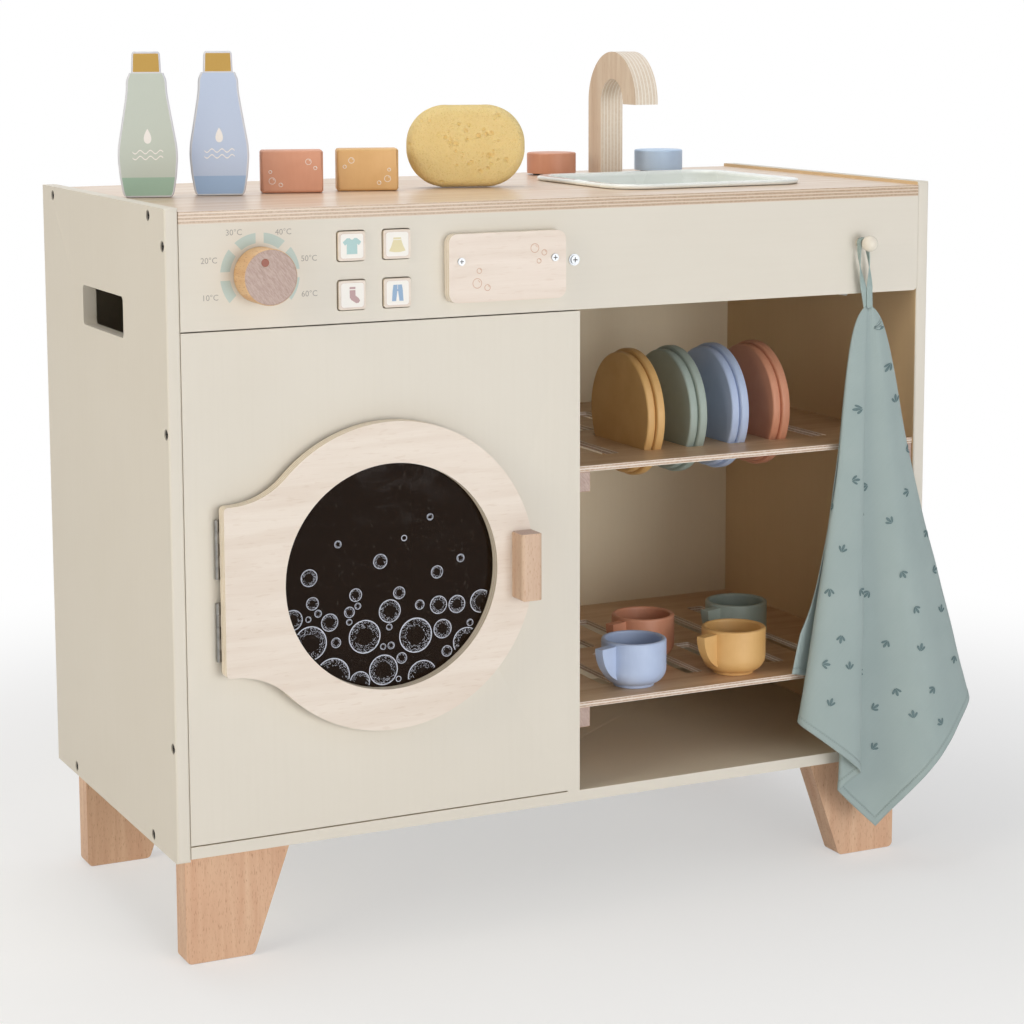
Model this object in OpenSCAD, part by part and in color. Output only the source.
// Wooden play laundry: a toy washing machine beside a sink and a shelf bay.
// Sizes are in millimetres. +Z is up, the front faces -Y, and the origin is on the
// floor under the middle of the whole set, door handle and towel included. Every
// sub-part is drawn in the cabinet's own frame: x from the left face, y back from the
// front, z up from the sides' lower edge.

/* [Cabinet] */
// Width over both side panels
cab_w = 733; // [715:1:800]
// Depth of the side panels
cab_d = 350; // [340:1:420]
// Height of the side panels
side_h = 540; // [520:1:620]
// Thickness of the upright boards
board_t = 12; // [10:0.5:14]
// Thickness of the worktop
top_t = 10; // [8:0.5:14]
// Thickness of the bottom board
base_t = 10; // [8:0.5:14]
// Thickness of the back panel
back_t = 10; // [6:0.5:12]
// How far the sides stand above the worktop
top_lip = 3; // [1:0.5:6]
// How far the sides hang below the bottom board
bottom_lip = 3; // [1:0.5:6]
// How far the back panel and worktop stop short of the sides' back edge
back_inset = 2; // [0:0.5:5]
// Clear width of the washing bay
wash_w = 348.3; // [335:0.1:360]
// Gap above and below the washing front
reveal = 1.2; // [0.5:0.1:3]
// Rounding of the side panels' upright edges
edge_r = 2.5; // [1:0.5:4]
// Rounding of the side panels' corners
side_corner_r = 3; // [1:0.5:10]
// Length of each side's handle hole
grip_len = 115.5; // [90:0.5:140]
// Height of each side's handle hole
grip_h = 35; // [28:0.5:45]
// Corner rounding of the handle holes
grip_r = 4; // [2:0.5:12]
// Handle hole's middle, behind the front edge
grip_y = 171; // [150:1:190]
// Handle hole's middle, below the sides' top edge
grip_drop = 98.5; // [80:0.5:130]

/* [Legs] */
// Length of the legs under the bottom board
leg_len = 98.5; // [60:0.5:140]
// Width of a leg at its top
leg_top_w = 95.6; // [80:0.2:110]
// Width of a leg at its foot
leg_foot_w = 60; // [45:1:75]
// Thickness of a leg
leg_t = 23.6; // [18:0.2:30]
// Leg's distance from the cabinet's outer face
leg_inset_x = 13.3; // [13:0.1:40]
// Leg's distance behind the front edge
leg_inset_y = 21.7; // [10:0.1:50]
// Rounding of the foot's corners
leg_foot_r = 5; // [1:0.5:10]

/* [Shelves] */
// Thickness of a shelf
shelf_t = 5; // [4:0.5:8]
// Upper shelf's top, above the bottom board
upper_shelf_z = 289.6; // [270:0.2:300]
// Lower shelf's top, above the bottom board
lower_shelf_z = 78.7; // [70:0.1:110]
// How far a shelf is set back from the front
shelf_inset = 3; // [1:0.5:12]
// Width of a shelf batten
batten_w = 12; // [8:0.5:16]
// Height of a shelf batten
batten_h = 18; // [12:0.5:24]
// Plate slots in a row
slot_count = 6; // [4:1:6]
// Rows of plate slots
slot_rows = 2; // [1:1:2]
// Width of a plate slot
slot_w = 17.5; // [17.5:0.1:20]
// Length of a plate slot
slot_len = 103.4; // [95:0.2:110]
// Rounding of a slot's corners
slot_r = 2.5; // [1:0.5:5]
// Distance from slot to slot
slot_pitch = 44; // [36:0.5:48]
// First slot's middle, from the divider
slot_start_x = 57.3; // [40:0.1:70]
// First row's start, from the front edge of the sides
slot_start_y = 50; // [40:1:60]
// Distance from row to row
row_pitch = 128; // [120:1:140]

/* [Control panel] */
// Height of the control panel
control_h = 86.5; // [80:0.5:100]
// Rounding of its free lower corner
control_corner_r = 4; // [1:0.5:10]
// Dial's middle, from the cabinet's left face
dial_x = 80.5; // [60:0.5:95]
// Radius of the dial knob
dial_r = 23; // [18:0.5:28]
// Length of the dial knob
dial_len = 25; // [18:0.5:32]
// Rounding of the dial knob's front edge
dial_edge_r = 2; // [0.5:0.5:5]
// Radius of the dial's inlaid pointer dot
dot_r = 3.25; // [2:0.25:4]
// Pointer dot's distance from the dial's middle
dot_reach = 13; // [8:0.5:17]
// Pointer dot's direction, anticlockwise from the right
dot_angle = 112; // [0:1:360]
// Middle of the four buttons, from the cabinet's left face
button_x = 180.2; // [165:0.1:190]
// Distance between button middles
button_pitch = 40.5; // [34:0.5:42]
// Side of a button's square hole
button_hole = 26; // [22:0.5:28]
// Corner rounding of a button's hole
button_hole_r = 3; // [1:0.5:5]
// Gap between a button and its hole
button_gap = 0.9; // [0.5:0.1:1.5]
// How far a button stands out
button_out = 2.5; // [1.5:0.5:5]
// How far a button can be pressed
button_travel = 2.2; // [1:0.1:3]
// Towel peg's middle, from the cabinet's right face
peg_from_right = 76; // [50:1:100]
// Towel peg's height above the control panel's middle
peg_rise = 3.2; // [-10:0.2:12]
// Radius of the peg's ball
peg_ball_r = 7.25; // [6:0.25:9]
// Radius of the peg's shaft
peg_shaft_r = 3.5; // [3:0.25:4]
// Ball's middle, in front of the panel
peg_reach = 18; // [16:0.5:26]

/* [Soap drawer] */
// Drawer's middle, from the cabinet's left face
drawer_x = 298.8; // [292:0.2:302]
// Drawer's middle, below the control panel's middle
drawer_drop = 2; // [0:0.5:5]
// Width of the drawer front
drawer_front_w = 109.5; // [105:0.5:116]
// Height of the drawer front
drawer_front_h = 58; // [54:0.5:64]
// Thickness of the drawer front
drawer_front_t = 10; // [6:0.5:14]
// Corner rounding of the drawer front
drawer_front_r = 8; // [3:0.5:12]
// Outer width of the drawer box
drawer_w = 95.7; // [88:0.1:97]
// Outer height of the drawer box
drawer_h = 38; // [30:0.5:40]
// Length of the drawer box
drawer_len = 108; // [80:1:140]
// Wall of the drawer box's sides
drawer_side_t = 8; // [6:0.5:10]
// Thickness of the drawer box's bottom
drawer_floor_t = 4; // [3:0.5:6]
// Drawer screws' middle, above the drawer's middle
drawer_screw_rise = 5.9; // [0:0.1:10]

/* [Door] */
// Outer radius of the door's ring
ring_r = 131.5; // [125:0.5:135]
// Radius of the door's window hole
window_r = 96.3; // [85:0.1:100]
// Radius of the opening in the washing front
port_r = 104; // [98:0.5:106]
// Door's middle, right of the washing bay's middle
door_shift = 2.4; // [0:0.1:5]
// From the door's middle to the edge of its hinge tab
tab_reach = 148.6; // [145:0.1:152]
// Half the height of the hinge tab
tab_half = 71; // [66:0.5:76]
// Rounding of the hinge tab's corners
tab_corner_r = 4; // [1:0.5:5]
// Radius of the hollow curves between tab and ring
tab_blend_r = 68; // [60:1:75]
// Thickness of the door
door_t = 12; // [10:0.5:16]
// Gap between the door and the washing front
door_gap = 4; // [3.8:0.1:6]
// Thickness of the window pane
pane_t = 2.5; // [2:0.25:4]
// How far the pane's seat reaches past the window hole
pane_seat = 4; // [2:0.5:8]
// Width of the door handle
pull_w = 19.5; // [14:0.5:24]
// Length of the door handle
pull_h = 58; // [45:1:70]
// How far the door handle stands out
pull_out = 20; // [14:0.5:28]
// Rounding of the door handle's long front edges
pull_edge_r = 4; // [1:0.5:6]
// Door handle's middle, right of the door's middle
pull_x = 120; // [112:0.5:121]
// How far the door can open, in degrees
door_open = 0; // [0:1:100]

/* [Hinges] */
// Length of a butt hinge
hinge_len = 49.2; // [40:0.2:60]
// Distance between the two hinges' middles
hinge_pitch = 69; // [62:0.5:80]
// Knuckles on a hinge
knuckle_count = 5; // [3:2:7]
// Gap between knuckles
knuckle_gap = 0.3; // [0.3:0.05:0.6]
// Outer radius of a knuckle
knuckle_r = 2; // [1.8:0.05:2.1]
// Radius of the hinge pin
pin_r = 1.1; // [0.8:0.05:1.3]
// Running clearance round the hinge pin
pin_fit = 0.05; // [0.02:0.01:0.1]
// Thickness of a hinge leaf
leaf_t = 1; // [0.8:0.1:1.2]
// Width of a hinge leaf beyond the pin
leaf_w = 18; // [14:0.5:24]
// Hinge pin's middle, left of the hinge tab's edge
pin_out = 1.7; // [1.5:0.1:2.5]
// Screws in a hinge leaf
leaf_screws = 3; // [2:1:3]

/* [Sink] */
// Basin's middle, from the divider's right face
basin_x = 170.7; // [160:0.1:185]
// Basin's middle, behind the front edge
basin_y = 153; // [145:1:160]
// Outer width of the basin's rim
basin_w = 204; // [180:1:220]
// Outer depth of the basin's rim
basin_d = 194; // [170:1:200]
// Corner rounding of the basin's rim
basin_r = 28; // [24:1:40]
// Width of the rim's overhang
rim_w = 9; // [7:0.5:14]
// Height of the rolled rim
rim_h = 3.5; // [2:0.5:6]
// Depth of the bowl under the worktop's top
bowl_h = 46; // [30:1:60]
// How much the bowl narrows on each side
bowl_taper = 10; // [4:1:16]
// Wall of the basin
bowl_t = 1.6; // [1.2:0.1:3]
// Tap's middle, from the divider's right face
tap_x = 185.7; // [175:0.1:195]
// Middle of tap and tap knobs, behind the front edge
tap_y = 302.9; // [295:0.1:306]
// Thickness of the tap
tap_t = 24; // [18:0.5:30]
// Outer radius of the tap's arch
arch_r = 48.7; // [44:0.1:52]
// Inner radius of the tap's arch
arch_hole_r = 22.4; // [18:0.1:26]
// Height of the arch's middle above the worktop
arch_z = 71; // [60:1:90]
// Radius of a tap knob
tap_knob_r = 24; // [20:0.5:26]
// Height of a tap knob
tap_knob_h = 20; // [14:0.5:26]
// Rounding of a tap knob's top edge
tap_knob_edge_r = 1.5; // [0.5:0.5:4]
// Distance of a tap knob from the tap
tap_knob_reach = 60; // [52:0.5:70]
// Thickness of the washer under a tap knob
washer_t = 1.5; // [1:0.25:3]
// Radius of that washer
washer_r = 18; // [10:0.5:20]
// Radius of the pins on which knobs turn
turn_pin_r = 4; // [3:0.25:5]
// Radius of the tap's pin
tap_pin_r = 5; // [4:0.25:6]
// Running clearance round those pins
turn_fit = 0.05; // [0.02:0.01:0.1]

/* [Plates and cups] */
// Radius of a plate's base layer
plate_r = 58.5; // [54:0.5:60]
// Radius of a plate's front layer
plate_top_r = 55.5; // [48:0.5:57]
// Whole thickness of a plate
plate_t = 16.5; // [12:0.1:16.7]
// Rounding of a plate's edges
plate_edge_r = 2; // [0.5:0.25:2.5]
// First slot that holds a plate
first_plate_slot = 1; // [0:1:2]
// Radius of a cup's rim
cup_r = 29.5; // [25:0.5:32]
// Height of a cup
cup_h = 43; // [36:0.5:55]
// Wall of a cup
cup_t = 4; // [3:0.25:5]
// Radius of a cup's foot
cup_foot_r = 18.5; // [16:0.5:20]
// Rounding of a cup's lower edge
cup_round_r = 14; // [10:0.5:18]
// How far a cup's handle stands out
cup_pull_out = 17.6; // [12:0.2:22]
// Thickness of a cup's handle
cup_pull_t = 9; // [6:0.5:12]
// Drop of a cup's handle below the rim
cup_pull_drop = 3; // [1:0.5:8]
// Direction of the cup handles, anticlockwise from the right
cup_pull_turn = 200; // [180:1:230]

/* [Wash-day pieces] */
// Turn of the pieces on the worktop
piece_turn = -18; // [-40:1:20]
// Height of a bottle
bottle_h = 124.5; // [110:0.5:135]
// Thickness of a bottle
bottle_t = 16; // [12:0.5:20]
// Widest width of a bottle
bottle_w = 51.5; // [46:0.5:56]
// Width of a bottle's base
bottle_base_w = 43.8; // [38:0.2:46]
// Width of a bottle's shoulders
bottle_shoulder_w = 36; // [32:0.5:40]
// Width of a bottle's cap
cap_w = 24.5; // [18:0.5:26]
// Height of a bottle's cap
cap_h = 17.5; // [14:0.5:24]
// Width of a soap bar
soap_w = 55; // [45:0.5:60]
// Height of a soap bar
soap_h = 37.5; // [30:0.5:45]
// Thickness of a soap bar
soap_t = 22; // [16:0.5:26]
// Rounding of a soap bar's edges
soap_r = 2.5; // [1:0.5:5]
// Width of the sponge
sponge_w = 108; // [90:1:120]
// Height of the sponge
sponge_h = 74.5; // [60:0.5:85]
// Thickness of the sponge
sponge_t = 30; // [22:1:36]
// Flat stretch under the sponge
sponge_flat = 40; // [30:1:50]
// Cut side of the square towel
towel_side = 344; // [300:2:350]

/* [Fasteners] */
// Head radius of the side screws
side_screw_head_r = 4.2; // [3.5:0.1:4.4]
// Shank radius of the side screws
side_screw_r = 2; // [1.5:0.1:2.5]
// Length of the side screws under the head
side_screw_len = 34; // [25:1:40]
// Depth of their recess in the side panels
side_screw_sink = 3.5; // [2:0.5:5]
// Radius of the washer head on the divider screw
divider_screw_head_r = 5; // [4:0.25:6]
// Radius of a frame dowel
dowel_r = 4; // [3:0.25:4.5]

/* [Clearances] */
// Gap between pieces that move past each other
gap = 0.3; // [0.3:0.05:0.6]
// Gap between the drawer box and its opening
drawer_gap = 1; // [0.5:0.1:1.5]

/* [Hidden] */
$fn = 96;

// Paint and wood colours
cream = "#ddd7cb";
cream_side = "#cdc7b7";
birch = "#e3d7c9";
birch_top = "#dcc0a3";
beech = "#d4ad90";
terracotta = "#c9876a";
ochre = "#dcb376";
blue = "#b3c3e0";
sage = "#a9b5ae";
towel_green = "#a9bab8";
steel = "#8b8b88";

// Levels and faces of the cabinet
base_z0 = bottom_lip;
base_z1 = base_z0 + base_t;
top_z1 = side_h - top_lip;
top_z0 = top_z1 - top_t;
back_y1 = cab_d - back_inset;
back_y0 = back_y1 - back_t;
div_x0 = board_t + wash_w;
div_x1 = div_x0 + board_t;
rack_x1 = cab_w - board_t;
control_z0 = top_z0 - control_h;
control_z = (control_z0 + top_z0) / 2;
front_z0 = base_z1 + reveal;
front_z1 = control_z0 - reveal;
floor_z = bottom_lip - leg_len;
upper_z = base_z1 + upper_shelf_z;
lower_z = base_z1 + lower_shelf_z;

// Door, hinge and washing port
door_cx = board_t + wash_w / 2 + door_shift;
door_cz = (front_z0 + front_z1) / 2;
door_y0 = -door_gap - door_t;
pin_x = door_cx - tab_reach - pin_out;
pin_y = -knuckle_r - gap;
knuckle_len = (hinge_len - (knuckle_count - 1) * knuckle_gap) / knuckle_count;
blend_bite = 0.05;
leaf_screw_r = 1.2;
leaf_screw_head_r = 2.6;
leaf_screw_len = 9;
leaf_screw_edge = 6;
leaf_screw_stagger = 3;
leaf_screw_spread = 0.68 * hinge_len;
handle_screw_r = 1.7;
handle_screw_head_r = 3.5;
handle_screw_head_t = 2.2;
handle_screw_sink = 2.5;
handle_screw_grip = 8;
handle_screw_z = 0.29 * pull_h;
magnet_r = 5;
magnet_len = 4;
magnet_ring = (ring_r + port_r) / 2 - 1;
magnet_angle = -40;
magnet_gap = 0.4;

// Control panel pieces
peg_x = cab_w - peg_from_right;
peg_z = control_z + peg_rise;
drawer_z = control_z - drawer_drop;
drawer_front_y = -gap - drawer_front_t;
drawer_floor_z = drawer_z - drawer_h / 2;
drawer_screw_z = drawer_z + drawer_screw_rise;
drawer_screw_x = (drawer_w - drawer_side_t) / 2;
drawer_screw_r = 1.5;
drawer_screw_head_r = 3.2;
drawer_screw_head_t = 1.6;
drawer_screw_grip = 12;
runner_h = drawer_h + drawer_gap;
runner_foot = 8;
button_side = button_hole - 2 * button_gap;
flange_side = button_hole + 4;
flange_corner_r = 2;
flange_t = 2.5;
flange_y = board_t + gap;
spring_len = 11;
backboard_y = flange_y + flange_t + spring_len;
backboard_t = 6;
backboard_wall = 6;
backboard_margin = 10;
spring_r = 4;
spring_wire_r = 0.5;
spring_turns = 3;
dial_pin_depth = 15;

// Sink
basin_cx = div_x1 + basin_x;
tap_cx = div_x1 + tap_x;
arch_y = tap_y - (arch_r + arch_hole_r) / 2;
arch_top_z = top_z1 + arch_z;
spout_len = 1.5;
rim_foot = 1.5;
rim_roll = 2.5;
pin_root = 8;
tap_pin_rise = 30;
knob_pin_rise = 12;

// Screws: places on the side panels, measured from the nearest edge, and depths
top_screw_front = 41;
top_screw_back = 34;
base_screw_front = 63;
base_screw_back = 62;
control_screw_drop = 17.5;
front_screw_drop = 81.8;
front_screw_rise = 82.8;
side_screw_head_t = 2.5;
back_screw_edge = 60;
back_screw_sink = 2.5;
back_screw_len = 30;
divider_screw_len = 36;
washer_head_t = 1;
dowel_grip = 0.6 * base_t;
dowel_depth = 20;
dowel_edge = 20;

// Plates stand in their slots with a little play
slot_play = 0.6;
plate_z = upper_z + sqrt(pow(plate_r, 2) - pow(slot_len / 2, 2)) + slot_play;
plate_y = slot_start_y + slot_len / 2;

// Cups: [x from the divider, y] of their middles
blue_cup_at = [74.7, 38];
ochre_cup_at = [178.7, 37];
terracotta_cup_at = [128.7, 119];
sage_cup_at = [235.7, 128];
cup_floor = 6;
cup_foot_h = 4;
cup_foot_rise = 2;

// Pieces on the worktop: [x, y] of their middles
sage_bottle_at = [45.6, 177.6];
blue_bottle_at = [108.3, 171.8];
terracotta_soap_at = [176.6, 176.1];
ochre_soap_at = [246.2, 170.1];
sponge_at = [343, 169];
bottle_base_r = 3;
bottle_base_h = 20;
bottle_belly_r = 18;
bottle_belly_z = 0.27 * bottle_h;
bottle_shoulder_r = 8;
cap_r = 2;

// Towel hung from the peg by its loop: [drop below the peg, left, right, front, back],
// each measured from the peg or the panel, for a cloth of towel_cut
towel_cut = 344;
towel_stations = [for (s = [[50, -1, 8, -11, -3], [82, -8, 17, -15, -3],
    [146, -17, 40, -19, -3], [240, -44, 74, -24, -3], [330, -58, 101, -28, -3],
    [408, -68, 119, -31, -3], [447, -60, 110, -30, -3], [487, -33, 62, -26, -3],
    [543, 1, 8, -14, -6]]) towel_side / towel_cut * s];
towel_loop_y = -10;
towel_loop_w = 6;
towel_loop_play = 0.7;
towel_loop_t = 1.5;
towel_loop_end = [3.5, -52];
towel_loop_end_r = 3.5;
towel_loop_slit = [2.5, -40];
towel_loop_slit_r = 1.5;

// Middle of the whole set, from the cabinet's left face and front edge
middle_x = (peg_x + max([for (s = towel_stations) s[2]])) / 2;
middle_y = (cab_d + door_y0 - pull_out) / 2;

// ---- Frame, outlines and small helpers ----

// The cabinet's own frame, placed with its legs on the floor
module in_cabinet() translate([-middle_x, -middle_y, -floor_z]) children();

// Rectangle from the origin with true round corners
module rounded_rect(w, h, r) {
    translate([r, 0]) square([w - 2 * r, h]);
    translate([0, r]) square([w, h - 2 * r]);
    for (x = [r, w - r], y = [r, h - r]) translate([x, y]) circle(r = r);
}

// The same, about the origin
module centred_rect(w, h, r) translate([-w / 2, -h / 2]) rounded_rect(w, h, r);

// What rounding a corner takes away: the corner's place, its two edges' directions
module corner_cut(at, a1, a2, r) {
    half = abs(a1 - a2) / 2;
    mid = (a1 + a2) / 2;
    reach = r / tan(half);
    middle = at + r / sin(half) * [cos(mid), sin(mid)];
    difference() {
        polygon([at - [cos(mid), sin(mid)], at + reach * [cos(a1), sin(a1)],
            middle, at + reach * [cos(a2), sin(a2)]]);
        translate(middle) circle(r = r);
    }
}

// A profile drawn in x-z, pushed back along y from y0
module along_y(y0, depth) translate([0, y0 + depth, 0]) rotate([90, 0, 0])
    linear_extrude(depth) children();

// A profile drawn in y-z, pushed along x from x0
module along_x(x0, depth) translate([x0, 0, 0]) rotate([90, 0, 90])
    linear_extrude(depth) children();

// A box between two corners
module box(a, b) translate(a) cube(b - a);

// A screw with a cross recess: its seat at the origin, its shank along +z
module screw(head_r, head_t, shank_r, len) {
    recess = head_r / 4;
    difference() {
        translate([0, 0, -head_t]) cylinder(r = head_r, h = head_t);
        for (a = [0, 90]) rotate(a)
            translate([-0.6 * head_r, -recess / 2, -head_t - 1])
                cube([1.2 * head_r, recess, 1 + head_t / 2]);
    }
    cylinder(r = shank_r, h = len);
}

// A countersunk screw, flush with a leaf: its head's face at the origin
module leaf_screw() {
    cylinder(r1 = leaf_screw_head_r, r2 = leaf_screw_r, h = leaf_t);
    translate([0, 0, leaf_t]) cylinder(r = leaf_screw_r, h = leaf_screw_len);
}

// ---- Fasteners, each one also the cutter of its own holes ----

// Side screws: [y, z] on the faces of the left and right panels
shared_side_screws = [[top_screw_front, top_z0 + top_t / 2],
    [cab_d - top_screw_back, top_z0 + top_t / 2],
    [board_t / 2, top_z0 - control_screw_drop],
    [base_screw_front, base_z0 + base_t / 2],
    [cab_d - base_screw_back, base_z0 + base_t / 2]];
washing_side_screws = [[board_t / 2, front_z1 - front_screw_drop],
    [board_t / 2, front_z0 + front_screw_rise]];

module side_screw_at(yz) translate([side_screw_sink, yz[0], yz[1]]) rotate([0, 90, 0])
    screw(side_screw_head_r, side_screw_head_t, side_screw_r, side_screw_len);

module all_side_screws() {
    for (yz = concat(shared_side_screws, washing_side_screws)) side_screw_at(yz);
    for (yz = shared_side_screws) translate([cab_w, 0, 0]) mirror([1, 0, 0])
        side_screw_at(yz);
}

module side_screw_recesses() for (yz = concat(shared_side_screws, washing_side_screws))
    translate([-1, yz[0], yz[1]]) rotate([0, 90, 0])
        cylinder(r = side_screw_head_r + gap, h = side_screw_sink + 1);

module right_screw_recesses() for (yz = shared_side_screws)
    translate([cab_w - side_screw_sink, yz[0], yz[1]]) rotate([0, 90, 0])
        cylinder(r = side_screw_head_r + gap, h = side_screw_sink + 1);

// The washer-head screw that holds the control panel to the divider
module divider_screw_shape() translate([(div_x0 + div_x1) / 2, 0, control_z]) {
    rotate([-90, 0, 0]) screw(0.72 * divider_screw_head_r, 2.6 * washer_head_t, side_screw_r,
        divider_screw_len);
    rotate([90, 0, 0]) cylinder(r = divider_screw_head_r, h = washer_head_t);
}

// Screws through the back panel into the divider's back edge
back_screw_heights = [base_z1 + back_screw_edge, (base_z1 + top_z0) / 2,
    top_z0 - back_screw_edge];

module back_screw_shapes() for (z = back_screw_heights)
    translate([(div_x0 + div_x1) / 2, back_y1 - back_screw_sink, z]) rotate([90, 0, 0])
        screw(side_screw_head_r, side_screw_head_t, side_screw_r, back_screw_len);

module back_screw_recesses() for (z = back_screw_heights)
    translate([(div_x0 + div_x1) / 2, back_y1 + 1, z]) rotate([90, 0, 0])
        cylinder(r = side_screw_head_r + gap, h = back_screw_sink + 1);

// Dowels: two in each leg, two under the divider
module dowel_shapes() {
    for (x = [leg_inset_x + dowel_edge, leg_inset_x + leg_top_w - dowel_edge - dowel_r],
            y = [leg_inset_y + leg_t / 2, cab_d - leg_inset_y - leg_t / 2]) {
        for (at = [x, cab_w - x]) translate([at, y, base_z0 - dowel_depth])
            cylinder(r = dowel_r, h = dowel_depth + dowel_grip);
    }
    for (y = [0.25, 0.75] * cab_d) translate([(div_x0 + div_x1) / 2, y, base_z1 - dowel_grip])
        cylinder(r = dowel_r, h = dowel_grip + dowel_depth);
}

// Countersunk screws of both hinges' leaves; side is 1 for the frame, -1 for the door
module hinge_screw_shapes(side) {
    head_y = side > 0 ? -leaf_t : -door_gap + leaf_t;
    for (s = [-1, 1], k = [0 : leaf_screws - 1])
        translate([pin_x + leaf_w - leaf_screw_edge - leaf_screw_stagger * (k % 2), head_y,
                door_cz + s * hinge_pitch / 2 + (k / (leaf_screws - 1) - 0.5) * leaf_screw_spread])
            rotate([side > 0 ? -90 : 90, 0, 0]) leaf_screw();
}

// Two screws from the door's back into its handle
module handle_screw_shapes() for (s = [-1, 1])
    translate([door_cx + pull_x, -door_gap - handle_screw_sink, door_cz + s * handle_screw_z])
        rotate([90, 0, 0]) screw(handle_screw_head_r, handle_screw_head_t, handle_screw_r,
            door_t + handle_screw_grip);

module handle_screw_recesses() for (s = [-1, 1])
    translate([door_cx + pull_x, -door_gap + 1, door_cz + s * handle_screw_z])
        rotate([90, 0, 0])
            cylinder(r = handle_screw_head_r + gap, h = handle_screw_sink + 1);

// Two screws through the drawer front into the box's sides
module drawer_screw_shapes() for (s = [-1, 1])
    translate([drawer_x + s * drawer_screw_x, drawer_front_y, drawer_screw_z])
        rotate([-90, 0, 0]) screw(drawer_screw_head_r, drawer_screw_head_t, drawer_screw_r,
            drawer_front_t + drawer_screw_grip);

module magnet_spot() translate([door_cx + magnet_ring * cos(magnet_angle), 0,
    door_cz + magnet_ring * sin(magnet_angle)]) rotate([90, 0, 0]) children();

// Pins on which the tap, its knobs and the dial turn, with the knobs' washers
module turning_pin_shapes() {
    translate([tap_cx, tap_y, top_z1 - pin_root])
        cylinder(r = tap_pin_r, h = pin_root + tap_pin_rise);
    for (s = [-1, 1]) translate([tap_cx + s * tap_knob_reach, tap_y, top_z1]) {
        translate([0, 0, -pin_root])
            cylinder(r = turn_pin_r, h = pin_root + washer_t + knob_pin_rise);
        cylinder(r = washer_r, h = washer_t);
    }
    translate([dial_x, board_t, control_z]) rotate([90, 0, 0])
        cylinder(r = turn_pin_r, h = board_t + dial_pin_depth);
}

// ---- Cabinet ----

module side_board(x0) difference() {
    intersection() {
        translate([x0, 0, 0]) linear_extrude(side_h) rounded_rect(board_t, cab_d, edge_r);
        along_x(x0, board_t) rounded_rect(cab_d, side_h, side_corner_r);
    }
    along_x(x0 - 1, board_t + 2) translate([grip_y, side_h - grip_drop])
        centred_rect(grip_len, grip_h, grip_r);
    all_side_screws();
}

module left_side_panel() in_cabinet() color(cream_side) difference() {
    side_board(0);
    side_screw_recesses();
}

module right_side_panel() in_cabinet() color(cream_side) difference() {
    side_board(rack_x1);
    right_screw_recesses();
}

module bottom_board() in_cabinet() color(cream) difference() {
    box([board_t, 0, base_z0], [rack_x1, back_y1, base_z1]);
    all_side_screws();
    dowel_shapes();
}

module worktop() in_cabinet() color(birch_top) difference() {
    box([board_t, 0, top_z0], [rack_x1, back_y1, top_z1]);
    translate([basin_cx, basin_y, top_z0 - 1]) linear_extrude(top_t + 2)
        centred_rect(basin_w - 2 * rim_w + 4, basin_d - 2 * rim_w + 4, basin_r - rim_w + 2);
    all_side_screws();
    turning_pin_shapes();
}

module back_panel() in_cabinet() color(cream) difference() {
    box([board_t, back_y0, base_z1], [rack_x1, back_y1, top_z0]);
    back_screw_shapes();
    back_screw_recesses();
}

// The divider, notched at its top front for the control panel
module divider() in_cabinet() color(cream) difference() {
    box([div_x0, 0, base_z1], [div_x1, back_y0, top_z0]);
    box([div_x0 - 1, -1, front_z1], [div_x1 + 1, board_t, top_z0 + 1]);
    divider_screw_shape();
    back_screw_shapes();
    dowel_shapes();
}

module button_holes(side, r) for (sx = [-1, 1], sz = [-1, 1])
    translate([button_x + sx * button_pitch / 2, control_z + sz * button_pitch / 2])
        centred_rect(side, side, r);

module control_panel() in_cabinet() color(cream) difference() {
    along_y(0, board_t) difference() {
        translate([board_t, control_z0]) square([rack_x1 - board_t, control_h]);
        corner_cut([rack_x1, control_z0], 90, 180, control_corner_r);
        button_holes(button_hole, button_hole_r);
        translate([drawer_x, drawer_z])
            centred_rect(drawer_w + 2 * drawer_gap, drawer_h + 2 * drawer_gap, 2);
    }
    all_side_screws();
    divider_screw_shape();
    turning_pin_shapes();
    towel_peg_shape();
}

module front_panel() in_cabinet() color(cream) difference() {
    along_y(0, board_t) difference() {
        translate([board_t, front_z0]) square([wash_w, front_z1 - front_z0]);
        translate([door_cx, door_cz]) circle(r = port_r);
    }
    all_side_screws();
    hinge_screw_shapes(1);
    frame_magnet_shape();
}

module shelf(top_z) difference() {
    box([div_x1, shelf_inset, top_z - shelf_t], [rack_x1, back_y0, top_z]);
    for (i = [0 : slot_count - 1], j = [0 : slot_rows - 1])
        translate([div_x1 + slot_start_x + i * slot_pitch - slot_w / 2,
                slot_start_y + j * row_pitch, top_z - shelf_t - 1])
            linear_extrude(shelf_t + 2) rounded_rect(slot_w, slot_len, slot_r);
}

module upper_shelf() in_cabinet() color(birch) shelf(upper_z);

module lower_shelf() in_cabinet() color(birch) shelf(lower_z);

module shelf_battens() in_cabinet() color(beech)
    for (z = [upper_z, lower_z], x = [div_x1, rack_x1 - batten_w])
        box([x, shelf_inset, z - shelf_t - batten_h], [x + batten_w, back_y0, z - shelf_t]);

// Outline of a left leg, its outer edge at x = 0 and its foot at z = 0
module leg_outline() difference() {
    polygon([[0, 0], [leg_foot_w, 0], [leg_top_w, leg_len], [0, leg_len]]);
    corner_cut([0, 0], 0, 90, leg_foot_r);
    corner_cut([leg_foot_w, 0], atan2(leg_len, leg_top_w - leg_foot_w), 180, leg_foot_r);
}

module leg(right, back) in_cabinet() color(beech) difference() {
    along_y(back ? cab_d - leg_inset_y - leg_t : leg_inset_y, leg_t)
        translate([right ? cab_w - leg_inset_x : leg_inset_x, floor_z])
            mirror([right ? 1 : 0, 0]) leg_outline();
    dowel_shapes();
}

module front_left_leg() leg(false, false);

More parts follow.
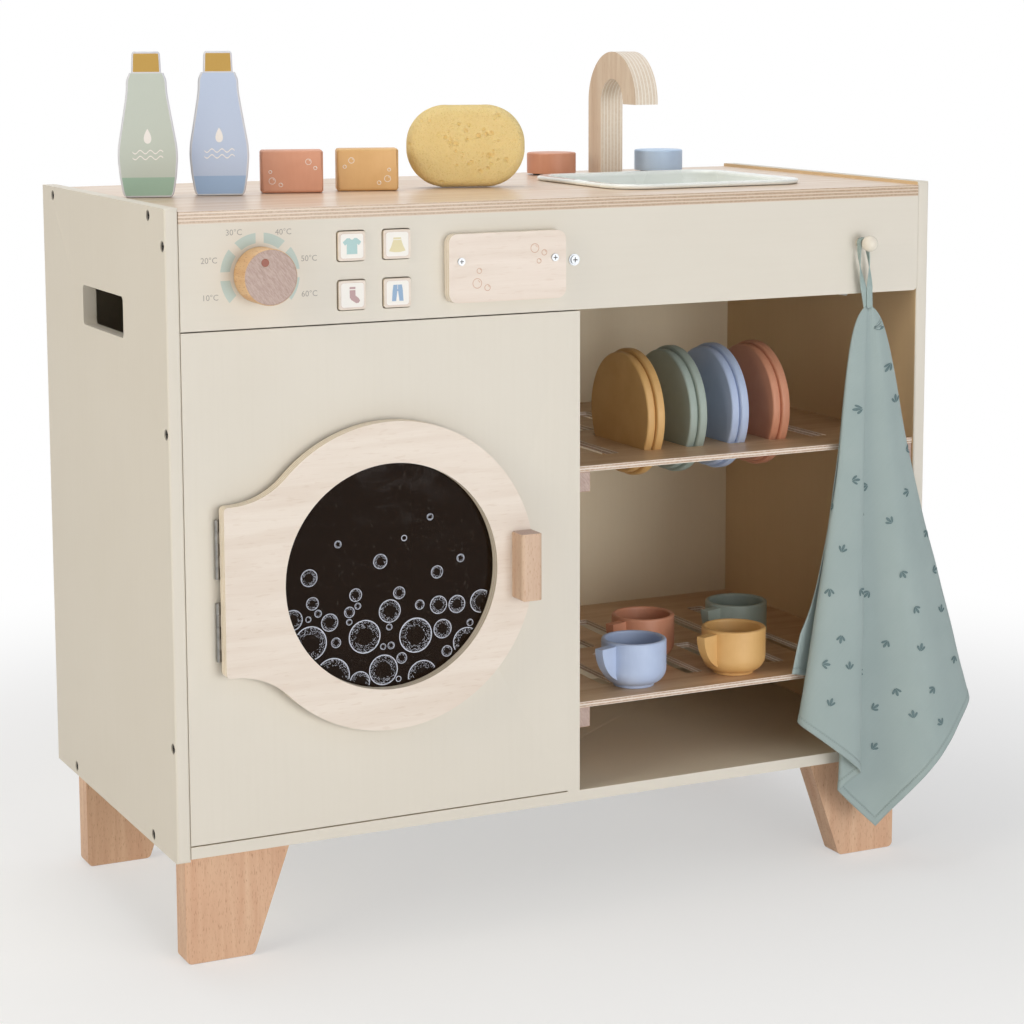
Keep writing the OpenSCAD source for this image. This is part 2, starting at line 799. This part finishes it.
module front_right_leg() leg(true, false);

module back_left_leg() leg(false, true);

module back_right_leg() leg(true, true);

module frame_dowels() in_cabinet() color(beech) dowel_shapes();

module side_screws() in_cabinet() color(steel) all_side_screws();

module divider_screw() in_cabinet() color(steel) divider_screw_shape();

module back_screws() in_cabinet() color(steel) back_screw_shapes();

// ---- Hinges ----

// Where knuckle k of the hinge about height z starts
function knuckle_z(z, k) = z - hinge_len / 2 + k * (knuckle_len + knuckle_gap);

// Leaves of both hinges: the frame has the even knuckles, the door the odd ones
module hinge_leaves(odd, leaf_y, bore_r) for (s = [-1, 1]) {
    z = door_cz + s * hinge_pitch / 2;
    difference() {
        union() {
            box([pin_x, leaf_y, z - hinge_len / 2],
                [pin_x + leaf_w, leaf_y + leaf_t, z + hinge_len / 2]);
            for (k = [odd : 2 : knuckle_count - 1]) translate([pin_x, pin_y, knuckle_z(z, k)])
                cylinder(r = knuckle_r, h = knuckle_len);
        }
        for (k = [1 - odd : 2 : knuckle_count - 1])
            box([pin_x - 1, leaf_y - 1, knuckle_z(z, k) - knuckle_gap],
                [pin_x + knuckle_r + gap, leaf_y + leaf_t + 1,
                    knuckle_z(z, k) + knuckle_len + knuckle_gap]);
        translate([pin_x, pin_y, z - hinge_len])
            cylinder(r = bore_r, h = 2 * hinge_len);
    }
}

module frame_hinge_leaves() in_cabinet() color(steel) difference() {
    hinge_leaves(0, -leaf_t, pin_r);
    hinge_screw_shapes(1);
}

module door_hinge_leaves() in_cabinet() door_swing() color(steel) difference() {
    hinge_leaves(1, -door_gap, pin_r + pin_fit);
    hinge_screw_shapes(-1);
}

module hinge_pins() in_cabinet() color(steel) for (s = [-1, 1])
    translate([pin_x, pin_y, door_cz + s * hinge_pitch / 2 - hinge_len / 2])
        cylinder(r = pin_r, h = hinge_len);

module frame_hinge_screws() in_cabinet() color(steel) hinge_screw_shapes(1);

// ---- Door ----

// Turns what the door carries about its hinge pins
module door_swing() translate([pin_x, pin_y, 0]) rotate(-door_open)
    translate([-pin_x, -pin_y, 0]) children();

// Ring, hinge tab and the hollow curves between them, about the door's middle: a sheet
// less everything outside them, which leaves one outline. The hollow's circle dips
// blend_bite into ring and tab, so that the edges cross cleanly.
module door_outline() {
    blend_z = tab_half + tab_blend_r - blend_bite;
    blend_x = -sqrt(pow(ring_r + tab_blend_r - blend_bite, 2) - pow(blend_z, 2));
    sheet = 2 * tab_reach;
    difference() {
        square(sheet, center = true);
        difference() {
            square(sheet + 2, center = true);
            circle(r = ring_r);
            difference() {
                polygon([[0, 0], [blend_x, -blend_z], [blend_x, -tab_half],
                    [-tab_reach, -tab_half], [-tab_reach, tab_half],
                    [blend_x, tab_half], [blend_x, blend_z]]);
                for (s = [-1, 1]) {
                    translate([blend_x, s * blend_z]) circle(r = tab_blend_r);
                    corner_cut([-tab_reach, s * tab_half], 0, -90 * s, tab_corner_r);
                }
            }
        }
    }
}

module door_panel() in_cabinet() door_swing() color(birch) difference() {
    along_y(door_y0, door_t) translate([door_cx, door_cz]) difference() {
        door_outline();
        circle(r = window_r);
    }
    pane_shape();
    hinge_screw_shapes(-1);
    handle_screw_shapes();
    handle_screw_recesses();
    door_magnet_shape();
}

module pane_shape() translate([door_cx, -door_gap, door_cz]) rotate([90, 0, 0])
    cylinder(r = window_r + pane_seat, h = pane_t);

module door_window() in_cabinet() door_swing() color([0.35, 0.3, 0.28, 0.5]) pane_shape();

module door_handle() in_cabinet() door_swing() color(beech) difference() {
    intersection() {
        translate([door_cx + pull_x, door_y0 - pull_out / 2, door_cz - pull_h])
            linear_extrude(2 * pull_h) union() {
                centred_rect(pull_w, pull_out, pull_edge_r);
                translate([-pull_w / 2, 0]) square([pull_w, pull_out / 2]);
            }
        along_y(door_y0 - pull_out, pull_out) translate([door_cx + pull_x, door_cz])
            centred_rect(pull_w, pull_h, 2);
    }
    handle_screw_shapes();
}

module door_screws() in_cabinet() door_swing() color(steel) {
    hinge_screw_shapes(-1);
    handle_screw_shapes();
}

module frame_magnet_shape() magnet_spot() translate([0, 0, -magnet_len])
    cylinder(r = magnet_r, h = magnet_len + (door_gap - magnet_gap) / 2);

module frame_magnet() in_cabinet() color(steel) frame_magnet_shape();

module door_magnet_shape() magnet_spot() translate([0, 0, (door_gap + magnet_gap) / 2])
    cylinder(r = magnet_r, h = magnet_len + (door_gap - magnet_gap) / 2);

module door_magnet() in_cabinet() door_swing() color(steel) door_magnet_shape();

// ---- Control panel pieces ----

module towel_peg_shape() translate([peg_x, 0, peg_z]) {
    translate([0, board_t - 2, 0]) rotate([90, 0, 0])
        cylinder(r = peg_shaft_r, h = board_t - 2 + peg_reach);
    translate([0, -peg_reach, 0]) sphere(r = peg_ball_r);
}

module towel_peg() in_cabinet() color(cream) towel_peg_shape();

// Two rails with ledges under the drawer box, joined behind it by a stop
module drawer_runners() in_cabinet() color(birch) difference() {
    box([drawer_x - drawer_w / 2 - gap - runner_foot, board_t, drawer_floor_z - runner_foot],
        [div_x0, drawer_len + 2 * gap + runner_foot, drawer_floor_z + runner_h]);
    box([drawer_x - drawer_w / 2 - gap, board_t - 1, drawer_floor_z - gap],
        [drawer_x + drawer_w / 2 + gap, drawer_len + 2 * gap, drawer_floor_z + runner_h + 1]);
    box([drawer_x - drawer_w / 2 + runner_foot, board_t - 1, drawer_floor_z - runner_foot - 1],
        [drawer_x + drawer_w / 2 - runner_foot, drawer_len - runner_foot, drawer_floor_z]);
}

module drawer_front() in_cabinet() color(birch) difference() {
    along_y(drawer_front_y, drawer_front_t) translate([drawer_x, drawer_z])
        centred_rect(drawer_front_w, drawer_front_h, drawer_front_r);
    drawer_screw_shapes();
}

module drawer_box() in_cabinet() color(birch) difference() {
    box([drawer_x - drawer_w / 2, -gap, drawer_floor_z],
        [drawer_x + drawer_w / 2, drawer_len, drawer_floor_z + drawer_h]);
    box([drawer_x - drawer_w / 2 + drawer_side_t, -gap + drawer_side_t,
            drawer_floor_z + drawer_floor_t],
        [drawer_x + drawer_w / 2 - drawer_side_t, drawer_len - drawer_side_t,
            drawer_floor_z + drawer_h + 1]);
    drawer_screw_shapes();
}

module drawer_screws() in_cabinet() color(steel) drawer_screw_shapes();

// A round knob with a rounded outer edge and a bore from its back, along +z
module turned_knob(r, h, edge_r, bore_r, bore_depth) difference() {
    rotate_extrude() {
        square([r - edge_r, h]);
        square([r, h - edge_r]);
        translate([r - edge_r, h - edge_r]) circle(r = edge_r);
    }
    translate([0, 0, -1]) cylinder(r = bore_r, h = bore_depth + 1);
}

module dial_knob() in_cabinet() color(beech) translate([dial_x, -gap, control_z])
    rotate([90, 0, 0]) difference() {
        turned_knob(dial_r, dial_len, dial_edge_r, turn_pin_r + turn_fit, dial_pin_depth + gap);
        translate([dot_reach * cos(dot_angle), dot_reach * sin(dot_angle), dial_len - 0.6])
            cylinder(r = dot_r, h = 1);
    }

// A square button with the flange that keeps it behind the panel
module button(sx, sz) in_cabinet() color(birch)
    translate([button_x + sx * button_pitch / 2, 0, control_z + sz * button_pitch / 2]) {
        along_y(-button_out, button_out + flange_y + 1)
            centred_rect(button_side, button_side, button_hole_r - button_gap);
        along_y(flange_y, flange_t) centred_rect(flange_side, flange_side, flange_corner_r);
    }

module button_top_left() button(-1, 1);

module button_top_right() button(1, 1);

module button_bottom_left() button(-1, -1);

module button_bottom_right() button(1, -1);

// Board behind the buttons, held to the panel by a rib on each side
module button_backboard() in_cabinet() color(birch) {
    reach = button_pitch / 2 + flange_side / 2 + gap + 1;
    difference() {
        box([button_x - reach - backboard_wall, board_t,
                control_z - button_pitch / 2 - backboard_margin],
            [button_x + reach + backboard_wall, backboard_y + backboard_t,
                control_z + button_pitch / 2 + backboard_margin]);
        box([button_x - reach, board_t - 1, control_z0 - 1],
            [button_x + reach, backboard_y, top_z0 + 1]);
    }
}

// A round-wire coil spring along +z
module coil_spring(r, wire_r, turns, len) {
    sides = 6;
    steps = 12 * turns;
    points = [for (i = [0 : steps], k = [0 : sides - 1])
        let (a = 360 * turns * i / steps, b = 360 * k / sides, out = r + wire_r * cos(b))
        [out * cos(a), out * sin(a),
            wire_r + (len - 2 * wire_r) * i / steps + wire_r * sin(b)]];
    walls = [for (i = [0 : steps - 1], k = [0 : sides - 1])
        let (next = (k + 1) % sides)
        [i * sides + k, (i + 1) * sides + k, (i + 1) * sides + next, i * sides + next]];
    ends = [[for (k = [0 : sides - 1]) k],
        [for (k = [sides - 1 : -1 : 0]) steps * sides + k]];
    polyhedron(points, concat(walls, ends));
}

module button_springs() in_cabinet() color(steel) for (sx = [-1, 1], sz = [-1, 1])
    translate([button_x + sx * button_pitch / 2, backboard_y,
            control_z + sz * button_pitch / 2])
        rotate([90, 0, 0]) coil_spring(spring_r, spring_wire_r, spring_turns, spring_len);

// ---- Sink ----

module basin_slice(z, inset, r) translate([0, 0, z]) linear_extrude(0.01)
    centred_rect(basin_w - 2 * inset, basin_d - 2 * inset, r, $fn = 32);

// The bowl's outside, or its inside when shrunk by the wall
module bowl_body(wall, top) hull() {
    basin_slice(top, rim_w + wall, basin_r - rim_w);
    basin_slice(-bowl_h + wall, rim_w + bowl_taper + wall, basin_r - rim_w);
}

module basin() in_cabinet() color("#e3e8e2") translate([basin_cx, basin_y, top_z1 + gap])
    difference() {
        union() {
            hull() {
                basin_slice(0, rim_foot, basin_r - rim_foot);
                basin_slice(rim_h / 2, 0, basin_r);
                basin_slice(rim_h - 0.01, rim_roll, basin_r - rim_roll);
            }
            bowl_body(0, 0);
        }
        bowl_body(bowl_t, rim_h + 0.1);
    }

// Side view of the tap: post, half-ring arch and a short spout, in y-z
module tap_outline() {
    band = arch_r - arch_hole_r;
    translate([tap_y - band / 2, top_z1 + gap]) square([band, arch_z - gap]);
    translate([arch_y, arch_top_z]) difference() {
        circle(r = arch_r);
        circle(r = arch_hole_r);
        translate([-2 * arch_r, -4 * arch_r]) square(4 * arch_r);
    }
    translate([arch_y - arch_r, arch_top_z - spout_len]) square([band, spout_len + 0.5]);
}

module tap() in_cabinet() color(birch) difference() {
    along_x(tap_cx - tap_t / 2, tap_t) tap_outline();
    translate([tap_cx, tap_y, top_z1 - 1])
        cylinder(r = tap_pin_r + turn_fit, h = tap_pin_rise + 2);
}

module tap_knob(side, paint) in_cabinet() color(paint)
    translate([tap_cx + side * tap_knob_reach, tap_y, top_z1 + washer_t + gap])
        turned_knob(tap_knob_r, tap_knob_h, tap_knob_edge_r, turn_pin_r + turn_fit,
            knob_pin_rise + 0.5);

module left_tap_knob() tap_knob(-1, terracotta);

module right_tap_knob() tap_knob(1, blue);

module turning_pins() in_cabinet() color("#4a4642") turning_pin_shapes();

// ---- Plates and cups ----

// One round layer of a plate, from z0, with rounded edges
module plate_layer(z0, r, t) translate([0, 0, z0]) rotate_extrude() {
    square([r - plate_edge_r, t]);
    translate([0, plate_edge_r]) square([r, t - 2 * plate_edge_r]);
    for (z = [plate_edge_r, t - plate_edge_r]) translate([r - plate_edge_r, z])
        circle(r = plate_edge_r);
}

// A stepped plate on edge in slot i, its larger layer to the right
module plate(i, paint) in_cabinet() color(paint)
    translate([div_x1 + slot_start_x + (first_plate_slot + i) * slot_pitch - plate_t / 2,
            plate_y, plate_z]) rotate([0, 90, 0]) {
        plate_layer(0, plate_top_r, plate_t / 2);
        plate_layer(plate_t / 2, plate_r, plate_t / 2);
    }

module ochre_plate() plate(0, ochre);

module sage_plate() plate(1, sage);

module blue_plate() plate(2, blue);

module terracotta_plate() plate(3, terracotta);

// Half of a cup's section: straight above, rounded to the floor below
module cup_side(r, z0, h, round_r) {
    translate([0, z0]) square([r - round_r, h - z0]);
    translate([0, z0 + round_r]) square([r, h - z0 - round_r]);
    translate([r - round_r, z0 + round_r]) circle(r = round_r);
}

module cup(at, paint) in_cabinet() color(paint)
    translate([div_x1 + at[0], at[1], lower_z + gap]) rotate(cup_pull_turn) {
        sweep_r = cup_h - cup_pull_drop - cup_floor;
        rotate_extrude() {
            difference() {
                cup_side(cup_r, cup_foot_rise, cup_h - cup_t / 2, cup_round_r);
                cup_side(cup_r - cup_t, cup_floor, cup_h + 1, cup_round_r - cup_t);
            }
            translate([cup_r - cup_t / 2, cup_h - cup_t / 2]) circle(r = cup_t / 2);
            square([cup_foot_r, cup_foot_h]);
        }
        difference() {
            along_y(-cup_pull_t / 2, cup_pull_t) intersection() {
                translate([cup_r + cup_pull_out - sweep_r, cup_h - cup_pull_drop])
                    circle(r = sweep_r);
                square([cup_r + cup_pull_out, cup_h - cup_pull_drop]);
            }
            cylinder(r = cup_r - cup_t / 2, h = cup_h + 1);
        }
    }

module blue_cup() cup(blue_cup_at, blue);

module ochre_cup() cup(ochre_cup_at, ochre);

module terracotta_cup() cup(terracotta_cup_at, terracotta);

module sage_cup() cup(sage_cup_at, sage);

// ---- Wash-day pieces ----

// Stands a piece on the worktop, its profile in x-z and its thickness along y
module on_worktop(at, t) in_cabinet() translate([at[0], at[1], top_z1 + gap])
    rotate(piece_turn) along_y(-t / 2, t) children();

module bottle_outline() {
    shoulder_z = bottle_h - cap_h;
    hull() {
        translate([-bottle_base_w / 2, 0])
            rounded_rect(bottle_base_w, bottle_base_h, bottle_base_r);
        for (s = [-1, 1]) {
            translate([s * (bottle_w / 2 - bottle_belly_r), bottle_belly_z])
                circle(r = bottle_belly_r);
            translate([s * (bottle_shoulder_w / 2 - bottle_shoulder_r),
                    shoulder_z - bottle_shoulder_r])
                circle(r = bottle_shoulder_r);
        }
    }
    translate([-cap_w / 2, shoulder_z - cap_r]) rounded_rect(cap_w, cap_h + cap_r, cap_r);
}

module sage_bottle() color(sage) on_worktop(sage_bottle_at, bottle_t) bottle_outline();

module blue_bottle() color(blue) on_worktop(blue_bottle_at, bottle_t) bottle_outline();

// A soap bar with its corners rounded in two views
module soap(at) intersection() {
    on_worktop(at, soap_t) translate([-soap_w / 2, 0]) rounded_rect(soap_w, soap_h, soap_r);
    in_cabinet() translate([at[0], at[1], top_z1 + gap]) rotate(piece_turn)
        linear_extrude(soap_h) centred_rect(soap_w, soap_t, soap_r);
}

module terracotta_soap() color(terracotta) soap(terracotta_soap_at);

module ochre_soap() color(ochre) soap(ochre_soap_at);

module sponge() color("#e6cf86") on_worktop(sponge_at, sponge_t)
    translate([0, sponge_h / 2]) hull() {
        end_r = 0.44 * sponge_h;
        for (s = [-1, 1]) translate([s * (sponge_w / 2 - end_r), 0]) circle(r = end_r);
        square([sponge_flat, sponge_h], center = true);
    }

// A flat oval bar across the towel at one station
module towel_bar(s) {
    half = (s[4] - s[3]) / 2;
    for (x = [s[1] + half / 2, s[2] - half / 2])
        translate([peg_x + x, (s[3] + s[4]) / 2, peg_z - s[0]]) scale([0.5, 1, 1])
            cylinder(r = half, h = 0.2, $fn = 16);
}

module towel() in_cabinet() color(towel_green) {
    for (i = [0 : len(towel_stations) - 2]) hull() {
        towel_bar(towel_stations[i]);
        towel_bar(towel_stations[i + 1]);
    }
    along_y(towel_loop_y, towel_loop_w) translate([peg_x, peg_z]) difference() {
        hull() {
            circle(r = peg_shaft_r + towel_loop_play + towel_loop_t);
            translate(towel_loop_end) circle(r = towel_loop_end_r);
        }
        hull() {
            circle(r = peg_shaft_r + towel_loop_play);
            translate(towel_loop_slit) circle(r = towel_loop_slit_r);
        }
    }
}

left_side_panel();
right_side_panel();
bottom_board();
worktop();
back_panel();
divider();
control_panel();
front_panel();
upper_shelf();
lower_shelf();
shelf_battens();
front_left_leg();
front_right_leg();
back_left_leg();
back_right_leg();
frame_dowels();
side_screws();
divider_screw();
back_screws();
frame_hinge_leaves();
hinge_pins();
frame_hinge_screws();
towel_peg();
drawer_runners();
button_backboard();
button_springs();
turning_pins();
frame_magnet();
door_panel();
door_window();
door_handle();
door_hinge_leaves();
door_screws();
door_magnet();
drawer_front();
drawer_box();
drawer_screws();
dial_knob();
button_top_left();
button_top_right();
button_bottom_left();
button_bottom_right();
tap();
left_tap_knob();
right_tap_knob();
basin();
ochre_plate();
sage_plate();
blue_plate();
terracotta_plate();
blue_cup();
ochre_cup();
terracotta_cup();
sage_cup();
sage_bottle();
blue_bottle();
terracotta_soap();
ochre_soap();
sponge();
towel();
